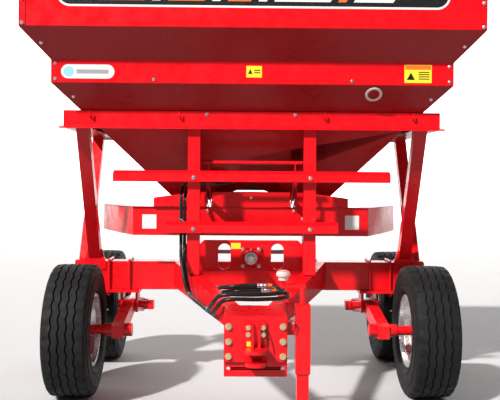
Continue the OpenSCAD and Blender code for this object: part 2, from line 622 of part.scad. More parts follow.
crossbeam();
drawbar_left();
drawbar_right();
drawbar_head();
hitch_plate();
hitch_clevis();
hitch_bolts();
pto_plate();
pto_bearing();
post_left();
post_right();
step_upper();
step_lower();
legs_left();
legs_right();
rail_front();
rail_rear();
rail_left();
rail_right();
hopper_front();
hopper_rear();
hopper_left();
hopper_right();
hopper_ridge();
outlet_necks();
shield_skirt();
shield_top();
front_cover();
bogie_saddles();
saddle_ubolts();
gear_cases();
gate_valve_box();
hydraulic_hoses();
hose_couplers();
pto_shaft();
cross_shaft();
disc_left();
disc_right();
vanes_left();
vanes_right();
control_shaft();
gate_left();
gate_right();
jack_tube();
jack_leg();
jack_crank();
walking_beam_left();
walking_beam_right();
tyre_front_left();
tyre_front_right();
tyre_rear_left();
tyre_rear_right();
rim_front_left();
rim_front_right();
rim_rear_left();
rim_rear_right();
hub_front_left();
hub_front_right();
hub_rear_left();
hub_rear_right();
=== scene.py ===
"""Looks of a trailed twin-disc spreader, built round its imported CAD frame.

The machine stands on the ground with its hitch towards -Y. Everything is in metres.
"""
import json
import math

import bmesh
import bpy
from mathutils import Matrix, Vector


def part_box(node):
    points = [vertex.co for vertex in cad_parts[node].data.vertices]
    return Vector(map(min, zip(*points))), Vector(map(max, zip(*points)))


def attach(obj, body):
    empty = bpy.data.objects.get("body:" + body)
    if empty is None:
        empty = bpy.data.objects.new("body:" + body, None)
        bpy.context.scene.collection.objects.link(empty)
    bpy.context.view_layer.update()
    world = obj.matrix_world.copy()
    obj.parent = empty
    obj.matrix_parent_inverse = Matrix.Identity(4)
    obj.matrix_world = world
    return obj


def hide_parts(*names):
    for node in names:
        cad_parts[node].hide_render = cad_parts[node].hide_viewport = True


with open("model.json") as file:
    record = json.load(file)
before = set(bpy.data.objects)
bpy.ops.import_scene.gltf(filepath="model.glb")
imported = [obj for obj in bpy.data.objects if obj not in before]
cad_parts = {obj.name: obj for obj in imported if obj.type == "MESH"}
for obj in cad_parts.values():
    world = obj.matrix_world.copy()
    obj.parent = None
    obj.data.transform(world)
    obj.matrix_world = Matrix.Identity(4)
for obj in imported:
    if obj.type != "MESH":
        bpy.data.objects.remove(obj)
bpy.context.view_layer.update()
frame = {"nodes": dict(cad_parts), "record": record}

SIDES = (-1, 1)
SIDE_NAMES = {-1: "left", 1: "right"}
UP = Vector((0, 0, 1))


def centre(node):
    """Middle of a CAD node's box."""
    low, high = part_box(node)
    return (low + high) / 2


AXLE_Y = centre("crossbeam").y
HITCH_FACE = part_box("hitch_plate")[0].y
RIM_LOW, RIM_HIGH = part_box("hopper_front")
HOPPER_HALF = RIM_HIGH.x
HOPPER_REACH = AXLE_Y - RIM_LOW.y
# Hopper folds from the rail up: half width, half length and height
FOLDS = [(1.100, 0.600, 1.840), (1.257, 0.757, 1.997), (1.257, 0.757, 2.140),
         (HOPPER_HALF, HOPPER_REACH, 2.315), (HOPPER_HALF, HOPPER_REACH, RIM_HIGH.z)]


# ------------------------------------------------------------ camera, light and floor
EYE = Vector((-0.09, -5.066, 1.36))
VIEW_YAW = -0.89
VIEW_ROLL = 0.4
LENS = 55.6
FRAMING_SHIFT = -0.028
SUN_RAYS = Vector((0.9, 1.0, -1.15))
SUN_STRENGTH = 6.0
FILL_LIGHT = 0.13


def make_camera():
    data = bpy.data.cameras.new("camera")
    data.lens = LENS
    data.shift_y = FRAMING_SHIFT
    camera = bpy.data.objects.new("camera", data)
    level = Matrix.Rotation(math.radians(VIEW_YAW), 4, "Z") @ Matrix.Rotation(math.radians(90), 4, "X")
    camera.matrix_world = Matrix.Translation(EYE) @ level @ Matrix.Rotation(math.radians(VIEW_ROLL), 4, "Z")
    bpy.context.scene.collection.objects.link(camera)
    bpy.context.scene.camera = camera


def make_lights():
    light = bpy.data.lights.new("key", "SUN")
    light.energy = SUN_STRENGTH
    light.angle = math.radians(3)
    light.color = (1.0, 0.97, 0.93)
    key = bpy.data.objects.new("key", light)
    key.rotation_euler = SUN_RAYS.to_track_quat("-Z", "Y").to_euler()
    bpy.context.scene.collection.objects.link(key)
    world = bpy.data.worlds.new("studio")
    world.use_nodes = True
    background = world.node_tree.nodes["Background"]
    background.inputs["Color"].default_value = (0.93, 0.96, 1.0, 1)
    background.inputs["Strength"].default_value = FILL_LIGHT
    bpy.context.scene.world = world
    bpy.context.scene.view_settings.view_transform = "Standard"


def make_stage():
    """A pale floor, and a lit white backdrop far behind the machine."""
    half = 40
    far = 24
    high = 30
    floor = [(-half, -half, 0), (half, -half, 0), (half, half, 0), (-half, half, 0)]
    backdrop = [(-half, far, -1), (half, far, -1), (half, far, high), (-half, far, high)]
    for name, corners, material in (("floor", floor, studio_floor()),
                                    ("backdrop", backdrop, lit_backdrop())):
        mesh = bpy.data.meshes.new(name)
        mesh.from_pydata(corners, [], [(0, 1, 2, 3)])
        mesh.materials.append(material)
        plane = bpy.data.objects.new(name, mesh)
        bpy.context.scene.collection.objects.link(plane)


# ------------------------------------------------------------ materials
class Finish:
    """A material, its Principled shader and short ways to add nodes to it."""

    def __init__(self, name, colour, roughness, metallic=0.0):
        self.material = bpy.data.materials.new(name)
        self.material.use_nodes = True
        self.tree = self.material.node_tree
        self.shader = self.tree.nodes["Principled BSDF"]
        self.set("Base Color", (*colour, 1))
        self.set("Roughness", roughness)
        self.set("Metallic", metallic)

    def set(self, socket, value):
        """Sets a shader socket to a number or colour, or links a node's output to it."""
        if isinstance(value, bpy.types.NodeSocket):
            self.tree.links.new(value, self.shader.inputs[socket])
        else:
            self.shader.inputs[socket].default_value = value

    def node(self, kind, **settings):
        made = self.tree.nodes.new(kind)
        for name, value in settings.items():
            setattr(made, name, value)
        return made

    def feed(self, node, socket, value):
        if isinstance(value, bpy.types.NodeSocket):
            self.tree.links.new(value, node.inputs[socket])
        else:
            node.inputs[socket].default_value = value

    def place(self):
        return self.node("ShaderNodeTexCoord").outputs["Object"]

    def noise(self, scale, detail=4.0, rough=0.55, stretch=(1, 1, 1)):
        mapping = self.node("ShaderNodeMapping")
        self.feed(mapping, "Vector", self.place())
        self.feed(mapping, "Scale", stretch)
        made = self.node("ShaderNodeTexNoise")
        self.feed(made, "Vector", mapping.outputs["Vector"])
        self.feed(made, "Scale", scale)
        self.feed(made, "Detail", detail)
        self.feed(made, "Roughness", rough)
        return made.outputs["Fac"]

    def ramp(self, source, *stops):
        """A colour ramp through stops of place and colour, or place and grey."""
        made = self.node("ShaderNodeValToRGB")
        self.feed(made, "Fac", source)
        elements = made.color_ramp.elements
        while len(elements) < len(stops):
            elements.new(0.5)
        for element, (place, colour) in zip(elements, stops):
            element.position = place
            element.color = (*colour, 1) if isinstance(colour, tuple) else (colour, colour, colour, 1)
        return made.outputs["Color"]

    def mix(self, share, first, second):
        made = self.node("ShaderNodeMix", data_type="RGBA")
        for index, value in ((0, share), (6, first), (7, second)):
            self.feed(made, index, (*value, 1) if isinstance(value, tuple) else value)
        return made.outputs[2]

    def height(self, axis="Z"):
        split = self.node("ShaderNodeSeparateXYZ")
        self.feed(split, "Vector", self.place())
        return split.outputs[axis]

    def downward_shade_mask(self):
        """Mask for painted shade: 1 on faces that look down, 0 on upright and upper ones."""
        split = self.node("ShaderNodeSeparateXYZ")
        self.feed(split, "Vector", self.node("ShaderNodeNewGeometry").outputs["Normal"])
        return self.spread(split.outputs["Z"], -0.15, -0.75)

    def spread(self, source, low, high, out_low=0.0, out_high=1.0):
        """Maps a range of a value to another range, clamped."""
        made = self.node("ShaderNodeMapRange")
        for index, value in enumerate((source, low, high, out_low, out_high)):
            self.feed(made, index, value)
        return made.outputs["Result"]

    def times(self, first, second):
        made = self.node("ShaderNodeMath", operation="MULTIPLY")
        self.feed(made, 0, first)
        self.feed(made, 1, second)
        return made.outputs[0]

    def bump(self, *layers):
        """Bump from layers of (height source, strength, distance), one on the other."""
        normal = None
        for source, strength, distance in layers:
            made = self.node("ShaderNodeBump")
            self.feed(made, "Height", source)
            self.feed(made, "Strength", strength)
            self.feed(made, "Distance", distance)
            if normal is not None:
                self.feed(made, "Normal", normal)
            normal = made.outputs["Normal"]
        self.set("Normal", normal)


def enamel(name, colour, deep, roughness=0.3):
    """Sprayed machine enamel: uneven tone, orange peel, road dust low down and in patches, and painted shade
    on faces that look down.
    """
    finish = Finish(name, colour, roughness)
    tone = finish.mix(finish.ramp(finish.noise(2.3, 5), (0.35, 0.0), (0.7, 1.0)), deep, colour)
    dusty = finish.times(finish.spread(finish.height(), 1.2, 0.35),
                         finish.ramp(finish.noise(9, 8, 0.65), (0.5, 0.0), (0.85, 0.22)))
    # Painted shade: faces that look down are darkened towards a fifth of the deep tone
    painted_underside_shade = finish.mix(finish.times(finish.downward_shade_mask(), 0.85), tone, tuple(0.2 * part for part in deep))
    finish.set("Base Color", finish.mix(dusty, painted_underside_shade, (0.30, 0.12, 0.09)))
    finish.set("Roughness", finish.spread(finish.noise(14, 6), 0.3, 0.75, roughness - 0.07, roughness + 0.14))
    finish.set("Specular IOR Level", 0.28)
    finish.set("Coat Weight", 0.10)
    finish.set("Coat Roughness", 0.12)
    finish.bump((finish.noise(420, 2), 0.10, 0.0006), (finish.noise(1.7, 2), 0.25, 0.006))
    return finish.material


def bare_metal(name, colour, roughness, grain=(1, 1, 1), stain=(0.25, 0.17, 0.11)):
    """Turned, rolled or plated metal with fine grain and a little staining."""
    finish = Finish(name, colour, roughness, 0.9)
    marks = finish.ramp(finish.noise(26, 8, 0.7), (0.52, 0.0), (0.78, 0.55))
    finish.set("Base Color", finish.mix(marks, finish.mix(finish.noise(60, 4), colour, tuple(
        0.8 * part for part in colour)), stain))
    finish.set("Roughness", finish.spread(finish.noise(130, 5, 0.6, grain), 0.3, 0.7,
                                          roughness - 0.1, roughness + 0.15))
    finish.bump((finish.noise(240, 4, 0.6, grain), 0.22, 0.0006))
    return finish.material


def rubber(name, colour, roughness, dust):
    """Black rubber with a matt bloom, fine pores and dust."""
    finish = Finish(name, colour, roughness)
    finish.set("Specular IOR Level", 0.22)
    bloom = finish.ramp(finish.noise(13, 8, 0.65), (0.42, 0.0), (0.8, dust))
    finish.set("Base Color", finish.mix(bloom, colour, (0.13, 0.12, 0.11)))
    finish.set("Roughness", finish.spread(finish.noise(40, 5), 0.3, 0.7, roughness - 0.1, roughness + 0.1))
    finish.bump((finish.noise(620, 3), 0.25, 0.0005), (finish.noise(55, 5), 0.15, 0.001))
    return finish.material


def plastic(name, colour, roughness=0.4, wear=(0.5, 0.5, 0.5)):
    """Moulded plastic or vinyl film, a little scuffed."""
    finish = Finish(name, colour, roughness)
    scuff = finish.ramp(finish.noise(38, 8, 0.7), (0.6, 0.0), (0.85, 0.35))
    finish.set("Base Color", finish.mix(scuff, colour, wear))
    finish.set("Roughness", finish.spread(finish.noise(70, 4), 0.3, 0.7, roughness - 0.08, roughness + 0.12))
    finish.bump((finish.noise(300, 3), 0.1, 0.0004))
    return finish.material


def studio_floor():
    finish = Finish("studio_floor", (0.45, 0.45, 0.46), 0.75)
    finish.set("Base Color", finish.mix(finish.noise(1.1, 6), (0.47, 0.47, 0.48), (0.43, 0.43, 0.44)))
    finish.bump((finish.noise(30, 6), 0.05, 0.002))
    return finish.material


def lit_backdrop():
    finish = Finish("lit_backdrop", (1, 1, 1), 1.0)
    finish.set("Emission Color", (1, 1, 1, 1))
    finish.set("Emission Strength", 1.0)
    return finish.material


RED = (0.78, 0.004, 0.010)
MATERIALS = {
    "red_paint": enamel("red_paint", RED, (0.66, 0.003, 0.008)),
    "shaded_red_paint": enamel("shaded_red_paint", (0.42, 0.006, 0.010), (0.30, 0.004, 0.007), 0.36),
    "yellow_zinc": bare_metal("yellow_zinc", (0.86, 0.74, 0.44), 0.34, stain=(0.45, 0.36, 0.18)),
    "bare_steel": bare_metal("bare_steel", (0.60, 0.60, 0.61), 0.36),
    "hub_iron": enamel("hub_iron", (0.42, 0.010, 0.012), (0.24, 0.008, 0.010), 0.45),
    "silver_rim": bare_metal("silver_rim", (0.80, 0.81, 0.83), 0.24, stain=(0.42, 0.38, 0.34)),
    "tyre_rubber": rubber("tyre_rubber", (0.007, 0.007, 0.008), 0.72, 0.07),
    "black_steel": plastic("black_steel", (0.015, 0.015, 0.016), 0.42, (0.12, 0.11, 0.10)),
    "hose_rubber": rubber("hose_rubber", (0.012, 0.013, 0.015), 0.32, 0.05),
    "coupler_steel": bare_metal("coupler_steel", (0.72, 0.72, 0.73), 0.28),
}
WHITE_FILM = plastic("white_film", (0.80, 0.80, 0.79), 0.33, (0.62, 0.58, 0.54))
BLACK_FILM = plastic("black_film", (0.012, 0.012, 0.013), 0.30, (0.09, 0.09, 0.09))
ORANGE_FILM = plastic("orange_film", (0.85, 0.17, 0.03), 0.33, (0.9, 0.5, 0.3))
YELLOW_FILM = plastic("yellow_film", (0.88, 0.72, 0.03), 0.35, (0.7, 0.6, 0.25))
BLUE_FILM = plastic("blue_film", (0.30, 0.62, 0.83), 0.35, (0.6, 0.7, 0.8))
GREY_FILM = plastic("grey_film", (0.33, 0.33, 0.34), 0.4, (0.5, 0.5, 0.5))
TEAL_TIE = plastic("teal_tie", (0.05, 0.45, 0.50), 0.42, (0.3, 0.5, 0.5))
KNOB_PLASTIC = plastic("knob_plastic", (0.78, 0.50, 0.47), 0.35, (0.6, 0.3, 0.28))
WHITE_RING = plastic("white_ring", (0.55, 0.50, 0.47), 0.4, (0.4, 0.33, 0.3))


# ------------------------------------------------------------ shapes
def facing(point, normal, up=UP):
    """A frame at a point whose local Z is the normal and whose local Y leans towards up."""
    z = Vector(normal).normalized()
    x = Vector(up).cross(z)
    x = x.normalized() if x.length > 1e-6 else Vector((1, 0, 0))
    y = z.cross(x)
    turn = Matrix((x, y, z)).transposed().to_4x4()
    return Matrix.Translation(Vector(point)) @ turn


def circle(radius, steps, start=0.0):
    return [(radius * math.cos(start + math.tau * k / steps), radius * math.sin(start + math.tau * k / steps))
            for k in range(steps)]


def rounded(half_x, half_y, radius, steps=6):
    """Outline of a rectangle with round corners."""
    points = []
    for corner, (sx, sy) in enumerate(((1, 1), (-1, 1), (-1, -1), (1, -1))):
        for k in range(steps + 1):
            angle = math.radians(90) * (corner + k / steps)
            points.append((sx * (half_x - radius) + radius * math.cos(angle),
                           sy * (half_y - radius) + radius * math.sin(angle)))
    return points


class Shape:
    """Gathers closed solids into the mesh of one piece."""

    def __init__(self):
        self.points = []
        self.faces = []
        self.slots = []

    def add(self, points, faces, slot=0):
        start = len(self.points)
        self.points += [Vector(p) for p in points]
        self.faces += [tuple(start + i for i in face) for face in faces]
        self.slots += [slot] * len(faces)

    def rings(self, rings, slot=0, closed=False):
        """A skin over rings of points, with flat ends unless the rings close on themselves."""
        n = len(rings[0])
        last = len(rings)
        faces = [(i * n + k, i * n + (k + 1) % n, (i + 1) % last * n + (k + 1) % n, (i + 1) % last * n + k)
                 for i in range(last if closed else last - 1) for k in range(n)]
        if not closed:
            faces += [tuple(range(n - 1, -1, -1)), tuple((last - 1) * n + k for k in range(n))]
        self.add([p for ring in rings for p in ring], faces, slot)

    def strap(self, middle, along, offset, radius, slot=0):
        """A flat band round two parallel bars whose middles lie an offset apart."""
        u = Vector(offset).normalized()
        v = Vector(along).normalized().cross(u).normalized()
        w = u.cross(v)
        half = Vector(offset).length / 2
        rings = []
        for k in range(32):
            a = math.tau * (k + 0.5) / 32
            out = math.cos(a) * u + math.sin(a) * v
            seat = Vector(middle) + math.copysign(half, math.cos(a)) * u
            rings.append([seat + out * (radius + rise) + w * shift
                          for rise, shift in ((0, -0.004), (0.0016, -0.004), (0.0016, 0.004), (0, 0.004))])
        self.rings(rings, slot, closed=True)

    def prism(self, outline, depth, place, slot=0, edge=0.0):
        """An outline in local X and Y raised along local Z, with a chamfer round its upper edge."""
        middle = Vector((sum(p[0] for p in outline), sum(p[1] for p in outline))) / len(outline)
        levels = [(0.0, 0.0), (depth - edge, 0.0)] + ([(depth, edge)] if edge else [])
        rings = []
        for z, inset in levels:
            ring = []
            for p in outline:
                flat = Vector(p)
                away = flat - middle
                if inset:
                    flat = flat - away.normalized() * inset
                ring.append(place @ Vector((flat.x, flat.y, z)))
            rings.append(ring)
        self.rings(rings, slot)

    def lathe(self, profile, place, steps=24, slot=0):
        """A turned solid: radii and heights along local Z, from the lower end to the upper."""
        self.rings([[place @ Vector((x, y, z)) for x, y in circle(max(radius, 1e-5), steps)]
                    for radius, z in profile], slot)

    def ring_lathe(self, section, place, steps=48, slot=0):
        """A turned ring: a closed section of radii and heights."""
        self.rings([[place @ Vector((r * math.cos(a), r * math.sin(a), z)) for r, z in section]
                    for a in (math.tau * k / steps for k in range(steps))], slot, closed=True)

    def tube(self, path, radius, sides=8, slot=0):
        """A round bar along a path. The radius may be a number or one number for each point."""
        rings = []
        for i, point in enumerate(path):
            ahead = (Vector(path[min(i + 1, len(path) - 1)]) - Vector(path[max(i - 1, 0)])).normalized()
            place = facing(point, ahead, UP if abs(ahead.z) < 0.9 else Vector((1, 0, 0)))
            size = radius[i] if isinstance(radius, list) else radius
            rings.append([place @ Vector((x, y, 0)) for x, y in circle(size, sides)])
        self.rings(rings, slot)

    def hex_bolt(self, place, size, slot=0, washer=True):
        """Hexagon head of a bolt with a washer, seated at the place and facing local Z."""
        seat = 0.0
        if washer:
            seat = 0.16 * size
            self.lathe([(1.05 * size, 0), (1.05 * size, 0.7 * seat), (0.98 * size, seat)], place, 24, slot)
        across = 0.87 * size
        top = seat + 0.5 * size
        self.rings([[place @ Vector((x, y, z)) for x, y in circle(radius, 6)]
                    for radius, z in ((across, seat), (across, top), (0.84 * across, top + 0.09 * size))],
                   slot)
        self.lathe([(0.42 * size, seat + 0.55 * size), (0.42 * size, seat + 0.66 * size)], place, 16, slot)

    def weld(self, start, end, radius=0.0035, slot=0):
        """A weld bead with its ripples between two points."""
        start, end = Vector(start), Vector(end)
        count = max(4, int((end - start).length / (1.9 * radius)))
        path = [start.lerp(end, k / count) for k in range(count + 1)]
        sizes = [radius * (0.82 + 0.2 * (k % 2)) for k in range(count + 1)]
        self.tube(path, sizes, 6, slot)

    def make(self, name, body, slot, *materials, bevel=0.0, replaces=()):
        """Turns the gathered solids into a piece that rides on a body."""
        mesh = bpy.data.meshes.new(name)
        mesh.from_pydata(self.points, [], self.faces)
        for material in materials or (MATERIALS[slot],):
            mesh.materials.append(material)
        mesh.polygons.foreach_set("material_index", self.slots)
        mesh.polygons.foreach_set("use_smooth", [True] * len(self.faces))
        solid = bmesh.new()
        solid.from_mesh(mesh)
        bmesh.ops.recalc_face_normals(solid, faces=solid.faces)
        solid.to_mesh(mesh)
        solid.free()
        mesh.set_sharp_from_angle(angle=math.radians(34))
        piece = bpy.data.objects.new(name, mesh)
        bpy.context.scene.collection.objects.link(piece)
        if bevel:
            edge = piece.modifiers.new("edges", "BEVEL")
            edge.width = bevel
            edge.segments = 2
            edge.angle_limit = math.radians(40)
        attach(piece, body)
        if replaces:
            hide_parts(*replaces)
        return piece


# ------------------------------------------------------------ CAD nodes
NO_BEVEL = ("tyre_", "hopper_", "hydraulic_hoses", "hose_couplers", "hitch_bolts")
EDGE_WIDTHS = {"red_paint": 0.0022, "shaded_red_paint": 0.0020, "bare_steel": 0.0009, "silver_rim": 0.0018,
               "hub_iron": 0.0012, "black_steel": 0.004}


def dress_cad_nodes():
    """Gives every CAD node its material, and all but the tyres, hopper parts, hoses, couplers and hitch bolts
    a small rounding along their edges.
    """
    for part in frame["record"]["subparts"]:
        piece = frame["nodes"][part["node"]]
        piece.data.materials.clear()
        piece.data.materials.append(MATERIALS[part["material_slot"]])
        if part["node"].startswith(NO_BEVEL):
            continue
        weld = piece.modifiers.new("weld", "WELD")
        weld.merge_threshold = 0.00005
        edge = piece.modifiers.new("edges", "BEVEL")
        edge.width = EDGE_WIDTHS.get(part["material_slot"], 0.001)
        edge.segments = 2
        edge.angle_limit = math.radians(35)
        piece.modifiers.new("normals", "WEIGHTED_NORMAL").keep_sharp = True


# ------------------------------------------------------------ wheels
ZIGZAG_STEPS = 6
ZIGZAGS = 30


def tyre_mesh(radius, half_width, bead):
    """A closed road tyre round local X, outer side towards +X, with four zigzag grooves."""
    side = [(-half_width + inset, r) for inset, r in (
        (0.034, bead - 0.016), (0.030, bead + 0.002), (0.018, bead + 0.012), (0.005, bead + 0.026),
        (0.000, bead + 0.036), (0.000, bead + 0.045), (0.004, bead + 0.050), (0.002, bead + 0.070),
        (0.000, bead + 0.094), (0.002, bead + 0.118), (0.000, bead + 0.121), (0.000, bead + 0.126),
        (0.004, bead + 0.129), (0.006, radius - 0.036), (0.010, radius - 0.020))]
    shoulder = [(-half_width + 0.013, radius - 0.012), (-half_width + 0.021, radius - 0.005),
                (-half_width + 0.033, radius - 0.003)]
    inside = [(half_width - 0.036, radius - 0.040), (half_width - 0.028, bead + 0.046),
              (half_width - 0.052, bead - 0.004)]
    groove_middles = (-0.070, -0.024, 0.024, 0.070)
    groove_depth = 0.012

    def section(step):
        phase = step % ZIGZAG_STEPS / ZIGZAG_STEPS
        shift = 0.0052 * (1 - 4 * abs(phase - 0.5))
        notch = 0.007 if step % ZIGZAG_STEPS in (0, 1) else 0.0
        cut_shoulder = [(x, r - notch) for x, r in shoulder]
        points = side + cut_shoulder
        for middle in groove_middles:
            for offset, depth in ((-0.0050, 0), (-0.0030, groove_depth), (0.0030, groove_depth), (0.0050, 0)):
                x = middle + offset + shift
                points.append((x, radius - depth - 0.0035 * (x / half_width) ** 2))
        points += [(-x, r) for x, r in reversed(cut_shoulder)] + [(-x, r) for x, r in reversed(side)]
        return points + inside[::-1] + [(-x, r) for x, r in inside]

    steps = ZIGZAGS * ZIGZAG_STEPS
    shape = Shape()
    shape.rings([[Vector((x, r * math.cos(a), r * math.sin(a))) for x, r in section(step)]
                 for step, a in ((k, math.tau * k / steps) for k in range(steps))], closed=True)
    mesh = bpy.data.meshes.new("tyre")
    mesh.from_pydata(shape.points, [], shape.faces)
    mesh.materials.append(MATERIALS["tyre_rubber"])
    mesh.polygons.foreach_set("use_smooth", [True] * len(shape.faces))
    mesh.update()
    mesh.set_sharp_from_angle(angle=math.radians(30))
    return mesh


def make_tyres():
    low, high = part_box("tyre_front_right")
    rim_low, rim_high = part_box("rim_front_right")
    mesh = tyre_mesh((high.z - low.z) / 2, (high.x - low.x) / 2, (rim_high.z - rim_low.z) / 2)
    for end in ("front", "rear"):
        for side in SIDES:
            wheel = f"{end}_{SIDE_NAMES[side]}"
            tyre = bpy.data.objects.new(f"treaded_tyre_{wheel}", mesh)
            bpy.context.scene.collection.objects.link(tyre)
            turn = Matrix.Rotation(0 if side > 0 else math.pi, 4, "Z")
            tyre.matrix_world = Matrix.Translation(centre(f"tyre_{wheel}")) @ turn
            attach(tyre, f"wheel_{wheel}")
            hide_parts(f"tyre_{wheel}")


# ------------------------------------------------------------ hydraulic hoses
HOSE_RADIUS = 0.0108
HOSE_OFFSET = Vector((-0.022, -0.012, 0.026))
# Both hoses follow this route: valve box, left post, drawbar, round the head and back
HOSE_ROUTE = [Vector((x, y + AXLE_Y, z)) for x, y, z in (
    (-0.030, -0.166, 1.408), (-0.080, -0.262, 1.396), (-0.180, -0.330, 1.378), (-0.330, -0.348, 1.364),
    (-0.412, -0.430, 1.350), (-0.434, -0.540, 1.290), (-0.434, -0.562, 1.110), (-0.434, -0.572, 0.950),
    (-0.425, -0.640, 0.850), (-0.392, -0.740, 0.710), (-0.360, -0.840, 0.668), (-0.300, -1.060, 0.660),
    (-0.228, -1.320, 0.656), (-0.204, -1.450, 0.700), (-0.150, -1.532, 0.762), (0.020, -1.522, 0.764),
    (0.150, -1.440, 0.760), (0.188, -1.360, 0.766), (0.140, -1.290, 0.770), (-0.020, -1.270, 0.770),
    (-0.140, -1.290, 0.772), (-0.165, -1.345, 0.778), (-0.100, -1.395, 0.790), (-0.030, -1.395, 0.796),
    (0.005, -1.395, 0.796), (0.040, -1.395, 0.796))]
TIED_POINTS = (6, 10, 12)


def smooth_route(route, steps):
    """Points of a Catmull-Rom curve through the route."""
    points = []
    for i in range(len(route) - 1):
        before, start = route[max(i - 1, 0)], route[i]
        end, after = route[i + 1], route[min(i + 2, len(route) - 1)]
        for k in range(steps):
            t = k / steps
            points.append(0.5 * (2 * start + t * (end - before)
                                 + t ** 2 * (2 * before - 5 * start + 4 * end - after)
                                 + t ** 3 * (3 * start - before - 3 * end + after)))
    return points + [route[-1]]


def make_hoses():
    hoses = Shape()
    fittings = Shape()
    ties = Shape()
    couplers = Shape()
    for shift in (Vector((0, 0, 0)), HOSE_OFFSET):
        path = [point + shift for point in smooth_route(HOSE_ROUTE, 5)]
        hoses.tube(path, HOSE_RADIUS, 14)
        socket = facing(path[0] + Vector((0, 0.004, 0)), (0.25, 1, 0.05))
        fittings.lathe([(0.0135, -0.034), (0.0148, -0.031), (0.0148, -0.006), (0.0125, 0.0),
                        (0.0125, 0.0115)], socket, 20)
        end = facing(path[-1], (1, 0, 0))
        couplers.lathe([(0.0132, 0.0), (0.0132, 0.010), (0.0105, 0.012), (0.0105, 0.018)], end, 6)
        couplers.lathe([(0.0110, 0.016), (0.0120, 0.018), (0.0120, 0.034), (0.0100, 0.036), (0.0100, 0.040),
                        (0.0120, 0.042), (0.0120, 0.058), (0.0108, 0.060)], end, 24)
        couplers.lathe([(0.0119, 0.060), (0.0119, 0.066), (0.0108, 0.068), (0.0108, 0.078), (0.0090, 0.0805)],
                       end, 24, 1)
    for index in TIED_POINTS:
        along = HOSE_ROUTE[index + 1] - HOSE_ROUTE[index - 1]
        ties.strap(HOSE_ROUTE[index] + HOSE_OFFSET / 2, along, HOSE_OFFSET, HOSE_RADIUS + 0.0002)
    hoses.make("curved_hoses", "chassis", "hose_rubber", replaces=("hydraulic_hoses",))
    couplers.make("quick_couplers", "chassis", "coupler_steel", MATERIALS["coupler_steel"], ORANGE_FILM,
                  bevel=0.0006, replaces=("hose_couplers",))
    fittings.make("hose_fittings", "chassis", "coupler_steel", bevel=0.0005)
    ties.make("hose_ties", "chassis", "black_steel", TEAL_TIE)


# ------------------------------------------------------------ hopper trim and fasteners
FRONTWARD = Vector((0, -1, 0))
WALL_Y = AXLE_Y - HOPPER_REACH
BAND_Y = AXLE_Y - FOLDS[1][1]
RAIL_Y = AXLE_Y - 0.607
LOWER_SLOPE = Vector((0, -0.7071, -0.7071))
UPPER_SLOPE = Vector((0, -0.7214, -0.6925))
STRIP_DEPTH = 0.003
SMALL_BOLT = 0.010
LARGE_BOLT = 0.012


def at_end(point, end):
    """A point of the front, or its twin at the rear."""
    return Vector((point[0], 2 * AXLE_Y - point[1] if end > 0 else point[1], point[2]))


def end_facing(point, normal, end):
    flipped = Vector((normal[0], -normal[1] if end > 0 else normal[1], normal[2]))
    return facing(at_end(point, end), flipped)


def make_hopper_trim():
    strips = Shape()
    bolts = Shape()
    seams = Shape()
    lip = Shape()
    corner_line = [(0.5015, 0.150, 1.240), (0.990, 0.500, 1.730)] + FOLDS[:4]
    for end in SIDES:
        for side in SIDES:
            middle = (side * 1.394, WALL_Y, 2.4865)
            strips.prism(rounded(0.0205, 0.168, 0.004, 3), STRIP_DEPTH, end_facing(middle, FRONTWARD, end),
                         edge=0.0006)
            for z in (2.331, 2.476, 2.620):
                bolts.hex_bolt(end_facing((side * 1.394, WALL_Y - STRIP_DEPTH, z), FRONTWARD, end), 0.011)
            for x, z in ((1.232, 2.020), (1.232, 2.117), (0.62, 2.020)):
                bolts.hex_bolt(end_facing((side * x, BAND_Y, z), FRONTWARD, end), SMALL_BOLT)
            bolts.hex_bolt(end_facing((side * 1.135, AXLE_Y - 0.6785, 1.9185), LOWER_SLOPE, end), SMALL_BOLT)
            bolts.hex_bolt(end_facing((side * 1.300, AXLE_Y - 0.841, 2.2275), UPPER_SLOPE, end), SMALL_BOLT)
            corners = [Vector((side * (x - 0.001), AXLE_Y + end * (y - 0.001), z)) for x, y, z in corner_line]
            corners[-1] = corners[-2].lerp(corners[-1], 0.97)
            for start, stop in zip(corners, corners[1:]):
                seams.weld(start, stop, 0.0034)
        lip.prism([(-1.408, 0.0), (1.408, 0.0), (1.372, 0.034), (-1.372, 0.034)], 0.004,
                  Matrix.Translation((0, AXLE_Y + end * (HOPPER_REACH - 0.006), RIM_HIGH.z - 0.0045))
                  @ Matrix.Diagonal((1, -end, 1, 1)))
    for side in SIDES:
        lip.prism([(0.0, -0.918), (0.0, 0.918), (0.034, 0.884), (0.034, -0.884)], 0.004,
                  Matrix.Translation((side * (HOPPER_HALF - 0.006), AXLE_Y, RIM_HIGH.z - 0.0045))
                  @ Matrix.Diagonal((-side, 1, 1, 1)))
    strips.make("corner_strips", "chassis", "red_paint")
    bolts.make("hopper_bolts", "chassis", "coupler_steel")
    seams.make("hopper_seams", "chassis", "red_paint")
    lip.make("rim_lip", "chassis", "red_paint")


# Heights of the films over their face: the backing, the print on it and the bars on that
FILM = 0.0005
PRINT = 0.0010
TOP_PRINT = 0.0014


